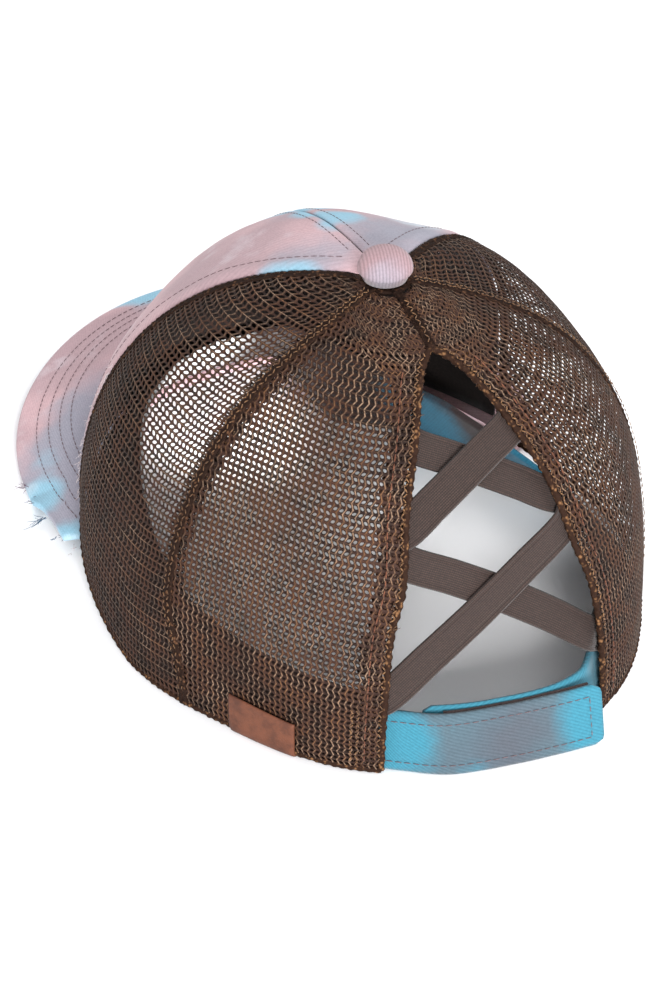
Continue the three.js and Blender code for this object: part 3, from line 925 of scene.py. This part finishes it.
def bandPlace(u, v):
    angle = mix(band["start"], 360 - band["start"], u)
    turn, left = turnOf(angle)
    foot = crownOuter(angle, 1)
    out = crownNormal(angle, 1)
    lean = band["lean"] * look(leanCurves["left" if left else "right"], turn) * v ** band["curl"]
    wave = band["wave"] * noiseAt(angle * 0.06, v * 1.5, 3) * v
    hang = ease(184, 202, angle) * (1 - ease(258, 285, angle))  # where its lower edge hangs free
    lean += band["hangReach"] * hang * (1 - v)
    point = foot - out * (crown["wall"] + 2 * crown["clearance"] + lean + wave)
    low = mix(foot.z + crown["clearance"], band["hangLow"], hang)
    point.z = mix(low, foot.z + band["height"], v) + 0.6 * v * noiseAt(angle * 0.1, 0, 9)
    return point, out, (u * 520, v * 27)


bandPiece = addObject(
    "rim_band", clothGrid(band["columns"], band["rows"], bandPlace), [bandOutside, bandTwill],
    ["inner_band"],
)
paint(
    bandPiece, cyan=[(-56, -72, 18, 28, 1.0), (-60, -20, 18, 24, 0.8), (0, -60, 10, 12, 0.3)],
    white=[(30, -96, 26, 34, 1.4), (58, -66, 22, 30, 1.3)],
)
thicken(bandPiece, band["wall"], 1)
print("band done")


# Elastics across the opening

elastic = {
    "width": 10.3, "wall": 1.1, "tuck": 5, "lift": 1.2, "crossing": 0.9, "groove": 1.45, "bead": 0.22,
    "columns": 20, "rows": 70,
}
elasticTable = tableOf(
    "name left right layer bow",
    ("elastic_upper_under", 0.41, 0.576, 1, 0), ("elastic_upper_over", 0.576, 0.418, 0, 0),
    ("elastic_lower_under", 0.635, 0.875, 1, 2), ("elastic_lower_over", 0.88, 0.64, 0, 0),
)


def strapDepth(layer):
    return crown["wall"] + 2 * crown["clearance"] + layer * (elastic["wall"] + 2 * crown["clearance"])


def elasticStations(row):
    depth = strapDepth(row["layer"])
    left, right = openingEdge(row["left"]), -openingEdge(row["right"])

    def onCrown(share):
        angle, down = mix(left, right, share), mix(row["left"], row["right"], share)
        return crownPoint(angle, down, depth), crownNormal(angle, down)

    start, finish = onCrown(0), onCrown(1)
    beyond = elastic["tuck"] / (start[0] - finish[0]).length
    between = []
    for share in (0.25, 0.5, 0.75):
        out = start[1].lerp(finish[1], share).normalized()
        hump = math.sin(share * math.pi)
        point = start[0].lerp(finish[0], share)
        point += out * (elastic["lift"] + (1 - row["layer"]) * elastic["crossing"]) * hump
        point.z += row["bow"] * hump
        between.append((point, out))
    return [onCrown(-beyond), start, *between, finish, onCrown(1 + beyond)]


def elasticPlace(row):
    stations = elasticStations(row)
    centres = [point for point, _ in stations]
    outs = [out for _, out in stations]
    length = sum((b - a).length for a, b in zip(centres, centres[1:]))

    def place(u, v):
        along = curveAlong(centres, v)
        width = curvePoint(outs, v).cross(along).normalized()
        out = along.cross(width)
        across = (u - 0.5) * elastic["width"]
        toEdge = elastic["width"] / 2 - abs(across)
        groove = -0.3 * math.exp(-((toEdge - elastic["groove"]) / 0.3) ** 2)
        bead = elastic["bead"] * math.exp(-((toEdge - 0.6) / 0.5) ** 2) - 0.35 * math.exp(-toEdge / 0.16)
        point = curvePoint(centres, v) + out * (groove + bead) + width * across
        return point, out, (v * length, across)

    return place, length


for row in elasticTable:
    place, length = elasticPlace(row)
    grid = clothGrid(elastic["columns"], elastic["rows"], place)
    strap = addObject(row["name"] + "_strap", grid, [elasticRib], [row["name"]])
    thicken(strap, elastic["wall"])
print("elastics done")


# Closure straps and hook tape

closure = {
    "height": 18.6, "wall": 1.5, "floorGap": 0.4, "tuck": 5, "bow": 15.3, "lean": 4.8, "tapeWall": 0.8,
    "tapeMargin": 0.8, "tapeStart": 0.5, "tapeEnd": 0.96, "columns": 90, "rows": 14, "corner": 2.6,
    "stitchInset": 3.0, "stitchEnd": 0.95, "inset": 0.15, "stitchLift": 0.05,
}
outerRoute = [(0.8, 0.25), (0.5, 0.66), (0, 0.88), (-0.43, 0.97), (-0.79, 1)]
innerRoute = [(-0.75, 0.5), (-0.43, 0.72), (0, 0.66), (0.3, 0.54), (0.62, 0.3)]


def closurePath(rows, side):
    depth = strapDepth(0)
    corner = crownPoint(side * openingAngle, 1, depth)
    tucked = crownPoint(side * (openingAngle + spanAngle(closure["tuck"], openingAngle, 1)), 1, depth)
    free = [
        Vector((across * crown["openingHalfWidth"], corner.y + out * closure["bow"], corner.z))
        for across, out in rows
    ]
    return [tucked, corner, *free]


def ribbonPoint(path, side, share, level, inset):
    along = curveAlong(path, share)
    out = Vector((along.y, -along.x, 0)).normalized() * side
    point = curvePoint(path, share) - out * inset
    point.y -= closure["lean"] * level / closure["height"]
    point.z = closure["floorGap"] + level
    return point, out


def ribbonPlace(path, side, start, end, margin, inset, rounded):
    length = sum((b - a).length for a, b in zip(path, path[1:])) * (end - start)

    def place(u, v):
        level = mix(margin, closure["height"] - margin, v)
        share = u
        if rounded:  # the free end's corners are rounded
            toSide = min(level - margin, closure["height"] - margin - level)
            past = max(closure["corner"] - toSide, 0)
            cut = closure["corner"] - math.sqrt(max(closure["corner"] ** 2 - past ** 2, 0))
            share = u * (1 - cut / length)
        point, out = ribbonPoint(path, side, mix(start, end, share), level, inset)
        edge = min(v, 1 - v) * (closure["height"] - 2 * margin)
        point -= out * 0.3 * math.exp(-edge / 0.4)
        point += out * 0.12 * noise.noise(point * 0.12)
        return point, out, (share * length, level)

    return place, length


outerPath = closurePath(outerRoute, 1)
innerPath = closurePath(innerRoute, -1)
closureTable = tableOf(
    "node path side cyan",
    ("closure_outer", outerPath, 1, [(36, 80, 8, 20, 1.1), (-32, 88, 10, 22, 1.2), (14, 90, 0, 9, 0.6)]),
    ("closure_inner", innerPath, -1, [(0, 80, 18, 60, 1.0)]),
)
for row in closureTable:
    place, length = ribbonPlace(row["path"], row["side"], 0, 1, 0, closure["inset"], True)
    grid = clothGrid(closure["columns"], closure["rows"], place)
    strap = addObject(row["node"] + "_strap", grid, [closureTwill], [row["node"]])
    paint(strap, cyan=row["cyan"], grey=[(-2, 90, 10, 18, 0.7)])
    thicken(strap, closure["wall"])
place, _ = ribbonPlace(
    outerPath, 1, closure["tapeStart"], closure["tapeEnd"], closure["tapeMargin"] * 0.4,
    closure["wall"] + crown["clearance"] + closure["inset"], False,
)
tape = addObject("hook_tape_strip", clothGrid(40, 8, place), [hookTape], ["hook_tape"])
thicken(tape, closure["tapeWall"])
print("closure done")


# Label, left bare

label = {
    "width": 23.6, "height": 13.6, "wall": 1.0, "angle": 51, "lift": 1.35, "edgeRound": 0.5, "footRound": 0.9,
    "wave": 0.08, "hemGap": 0.2,
}


def labelPlace(u, v):
    turn = spanAngle(label["width"] / 2, label["angle"], 1)
    top = firstDown(lambda down: crownOuter(label["angle"], down).z < label["height"])
    angle = mix(label["angle"] - turn, label["angle"] + turn, u)
    down = mix(top, 1, v)
    out = crownNormal(label["angle"], 0.99)
    rim = min(u * label["width"], (1 - u) * label["width"], v * label["height"])
    bottom = (1 - v) * label["height"]
    fall = label["edgeRound"] * math.exp(-rim / 0.35) + label["footRound"] * math.exp(-bottom / 0.7)
    lift = label["lift"] - fall + label["wave"] * noiseAt(u * 4, v * 3, 1)
    point = crownOuter(angle, down) + out * lift
    point.z = max(point.z, label["hemGap"])
    return point, out, (u * label["width"], v * label["height"])


labelPiece = addObject("leather_label", clothGrid(40, 26, labelPlace), [labelLeather], ["label"])
thicken(labelPiece, label["wall"])
print("label done")


# Stitches: short stretched beads of thread, joined in one mesh for each row of sewing

stitch = {"length": 2.3, "pitch": 2.6, "radius": 0.15, "sides": 6, "rings": 5}


def sew(bm, points, length=stitch["length"], pitch=stitch["pitch"], radius=stitch["radius"]):
    walked, due = 0.0, pitch / 2
    for (here, out), (there, _) in zip(points, points[1:]):
        step = (there - here).length
        while walked + step >= due:
            centre = here.lerp(there, (due - walked) / step)
            along = (there - here).normalized()
            across = out.cross(along).normalized()
            turn = Matrix((along, across, out)).transposed().to_4x4()
            size = Matrix.Diagonal((length / 2 * mm, radius * mm, radius * 0.75 * mm, 1))
            bmesh.ops.create_uvsphere(
                bm, u_segments=stitch["sides"], v_segments=stitch["rings"], radius=1,
                matrix=Matrix.Translation(centre * mm) @ turn @ size,
            )
            due += pitch
        walked += step


def crownLine(angleAt, start, end, count, lift=0.12):
    rows = []
    for down in spaced(start, end, count):
        angle = angleAt(down)
        out = crownNormal(angle, down)
        rows.append((crownOuter(angle, down) + out * lift, out))
    return rows


def frontLine(angleAt, start=0.07, end=0.99, count=160):
    rows = []
    for down in spaced(start, end, count):
        point, out, _ = frontSurface(angleAt(down), down)
        rows.append((point + out * 0.06, out))
    return rows


bm = bmesh.new()
for side in (1, -1):
    seamAt = crown["frontSeam"]
    sew(bm, frontLine(lambda down: side * (seamAt + spanAngle(7, seamAt, down))))
    sew(bm, frontLine(lambda down: side * (180 - spanAngle(4.6, 180, down))))
addObject("crown_stitches", bm, [stitchThread])

bm = bmesh.new()
for inset in visor["stitchRows"]:
    row = []
    for across in spaced(0.995, -0.995, 240):
        _, length = visorPoint(across, 0.5)
        share = 1 - inset / length
        if share * length < visor["tuck"] + 1:
            continue
        row.append((visorPoint(across, share)[0] + Vector((0, 0, 0.22)), Vector((0, 0, 1))))
    sew(bm, row)
addObject("visor_stitches", bm, [stitchThread])

bm = bmesh.new()
inset = closure["stitchInset"]
for level in (inset, closure["height"] - inset):
    shares = spaced(0.12, closure["stitchEnd"], 99)
    sew(bm, [ribbonPoint(outerPath, 1, share, level, -closure["stitchLift"]) for share in shares])
endRow = [
    ribbonPoint(outerPath, 1, closure["stitchEnd"], level, -closure["stitchLift"])
    for level in spaced(inset, closure["height"] - inset, 10)
]
sew(bm, endRow, 2.0)
addObject("closure_stitches", bm, [stitchThread])


# A sewn zigzag that follows a line of the crown
def zigzag(bm, angleAt, start, end, swing, step, lift, length, radius):
    down, sign = start, 1
    before = None
    while down < end:
        angle = angleAt(down)
        angle += spanAngle(sign * swing * random.uniform(0.6, 1.2), angle, down)
        out = crownNormal(angle, down)
        spot = crownOuter(angle, down) + out * lift
        spot.z = max(spot.z, 0.5)
        if before:
            sew(bm, [(before[0], out), (spot, out)], length, (spot - before[0]).length * 1.02, radius)
        before = (spot, out)
        sign = -sign
        down += step * random.uniform(0.8, 1.2) / 150


bm = bmesh.new()
for side in (1, -1):
    for offset in (-0.7, 0.8):
        line = lambda down: side * (sideSeam(down) + spanAngle(offset, 75, down))
        zigzag(bm, line, 0.07, 0.99, 0.6, 1.7, 0.5, 1.6, 0.19)
    line = lambda down: side * (openingEdge(down) + spanAngle(1.0, 0, down))
    zigzag(bm, line, 0.22, 0.99, 0.7, 1.3, 0.3, 1.7, 0.22)
zigzag(bm, lambda down: 0.0, 0.08, 0.2, 0.7, 1.5, 0.55, 1.8, 0.2)
for offset in (7.5, 9.3):
    line = lambda down: openingEdge(down) + spanAngle(offset, 30, down)
    zigzag(bm, line, 0.9, 0.995, 0.7, 1.4, 0.25, 1.9, 0.24)
addObject("gold_stitches", bm, [goldThread])
bm = bmesh.new()
for side in (1, -1):
    run = crownLine(lambda down: side * (openingEdge(down) + spanAngle(5.2, 20, down)), 0.26, 0.99, 110, 0.15)
    sew(bm, run, 2.6, 2.7, 0.24)
addObject("rust_stitches", bm, [rustThread])


def addThread(bm, points, radius, sides=5, steps=10):  # a fine tapering thread through the points
    made = bmesh.ops.create_grid(bm, x_segments=sides, y_segments=steps, size=0.5)
    for vert in made["verts"]:
        turn, share = (vert.co.x + 0.5) * 2 * math.pi, vert.co.y + 0.5
        along = curveAlong(points, share)
        first = along.orthogonal().normalized()
        second = along.cross(first)
        thin = radius * (1 - 0.5 * share) * (0.05 if share in (0.0, 1.0) else 1)
        vert.co = (curvePoint(points, share) + (first * math.cos(turn) + second * math.sin(turn)) * thin) * mm


def within(*limits):  # a random direction, each part of it within its own limit
    return Vector([random.uniform(-limit, limit) for limit in limits])


# Threads that leave one place and curl apart
def tuft(bm, root, towards, length, spread, count, radius, low=0.4):
    for _ in range(count):
        start = root + within(1, 1, 0.4) * spread * 0.4
        way = (towards.normalized() + within(0.5, 0.5, 0.5)).normalized()
        bend = within(0.4, 0.4, 0.4)
        reach = length * random.uniform(0.45, 1.1)
        points = [start + (way * k / 4 + bend * (k / 4) ** 2) * reach for k in range(5)]
        for point in points:
            point.z = max(point.z, low)
        addThread(bm, points, radius)


frays = tableOf(
    "at towards length spread count tone",
    ((88.2, -95, 3.0), (1, -0.25, 0.1), 3.6, 3, 8, "purple"),
    ((88.2, -86, 3.0), (1, 0.2, 0.1), 2.0, 5, 7, "purple"),
    ((88.0, -76, 2.6), (1, 0.1, 0.05), 6.0, 3, 10, "blue"),
    ((85.8, -66, 2.4), (0.8, 0.5, 0.05), 2.4, 6, 8, "blue"),
    ((83.0, -58, 2.2), (0.6, 0.7, 0.05), 2.2, 6, 7, "pale"),
    ((48, -141, 11.6), (0.5, 0.6, 0.6), 3.2, 2, 3, "blue"),
)
for tone, material in (("purple", frayPurple), ("blue", frayBlue), ("pale", paleThread)):
    bm = bmesh.new()
    for row in frays:
        if row["tone"] == tone:
            root = Vector(row["at"]) + Vector((0, shiftY, 0))
            tuft(bm, root, Vector(row["towards"]), row["length"], row["spread"], row["count"], 0.11)
    if tone == "pale":  # the twill's raw edge shows along the lower part of the left front seam
        for _ in range(90):
            down = random.uniform(0.62, 0.99)
            angle = crown["frontSeam"] + spanAngle(random.uniform(-1.0, 0.6), 120, down)
            out = crownNormal(angle, down)
            way = (crownOuter(angle, min(down + 0.02, 1)) - crownOuter(angle, down - 0.02)).normalized()
            tuft(bm, crownOuter(angle, down) + out * 0.25, way + out * 0.3, 2.4, 0.6, 1, 0.09)
    bmesh.ops.remove_doubles(bm, verts=bm.verts[:], dist=1e-6)
    addObject(f"{tone}_frays", bm, [material])

bm = bmesh.new()
for side, down, length in ((1, 0.33, 3.4), (1, 0.36, 2.4), (1, 0.75, 3.0), (-1, 0.985, 4.0), (-1, 0.5, 2.0)):
    angle = side * openingEdge(down)
    out = crownNormal(angle, down)
    way = Vector((-side, 0, 0.5)) + out * 0.6
    tuft(bm, crownOuter(angle, down) + out * 0.2, way, length, 0.5, 2, 0.13)
bmesh.ops.remove_doubles(bm, verts=bm.verts[:], dist=1e-6)
addObject("loose_threads", bm, [goldThread])
print("stitches done")


# Floor, light and camera

floorMaterial, _, floorShader, _ = startMaterial("floor_paper", 0.9, 0.1)
floorShader.inputs["Base Color"].default_value = (0.93, 0.93, 0.94, 1)
bm = bmesh.new()
bmesh.ops.create_grid(bm, x_segments=1, y_segments=1, size=6)
floorMesh = bpy.data.meshes.new("floor")
bm.to_mesh(floorMesh)
bm.free()
floorMesh.materials.append(floorMaterial)
placeObject("floor", floorMesh)

world = bpy.data.worlds.new("studio")
world.use_nodes = True
background = world.node_tree.nodes["Background"]
background.inputs["Color"].default_value = (0.97, 0.98, 1.0, 1)
background.inputs["Strength"].default_value = 0.88
bpy.context.scene.world = world

middle = (0, 0, 0.05)
lights = tableOf(
    "name kind size power place target",  # an area's size in metres, a spot's in degrees
    ("key", "AREA", 0.5, 40.0, (0.42, 1.58, 0.56), middle),
    ("top", "AREA", 0.6, 6.0, (-0.7, 0.2, 1.1), middle),
    ("far", "AREA", 1.0, 3.0, (0.3, -1.0, 0.8), middle),
    ("front_inside", "SPOT", 31, 1.9, (-0.01, 0.06, 0.085), (0.02, -0.08, 0.0)),
    ("right_inside", "SPOT", 56, 0.1, (-0.02, 0.03, 0.088), (-0.048, 0.014, 0.0)),
)
for row in lights:
    data = bpy.data.lights.new(row["name"], row["kind"])
    if row["kind"] == "SPOT":
        data.spot_size = math.radians(row["size"])
        data.spot_blend = 0.8
        data.shadow_soft_size = 0.006
    else:
        data.size = row["size"]
    data.energy = row["power"]
    lamp = placeObject(row["name"], data)
    lamp.location = row["place"]
    lamp.visible_camera = False
    lamp.rotation_euler = (Vector(row["target"]) - lamp.location).to_track_quat("-Z", "Y").to_euler()

view = {
    "azimuth": 156.77, "elevation": 36.0, "place": (248.98, 537.9, 466.16), "focalPixels": 2400,
    "imageHeight": 1001, "sensor": 36,
}
camera = bpy.data.cameras.new("camera")
camera.sensor_width = view["sensor"]
camera.lens = view["focalPixels"] * view["sensor"] / view["imageHeight"]
cameraObject = placeObject("camera", camera)
cameraObject.location = (Vector(view["place"]) + Vector((0, shiftY, 0))) * mm
turn, lift = math.radians(view["azimuth"]), math.radians(view["elevation"])
back = Vector((math.sin(turn) * math.cos(lift), -math.cos(turn) * math.cos(lift), math.sin(lift)))
cameraObject.rotation_mode = "QUATERNION"
cameraObject.rotation_quaternion = (-back).to_track_quat("-Z", "Y")
bpy.context.scene.camera = cameraObject
bpy.context.scene.view_settings.view_transform = "Standard"
bpy.context.scene.view_settings.look = "None"
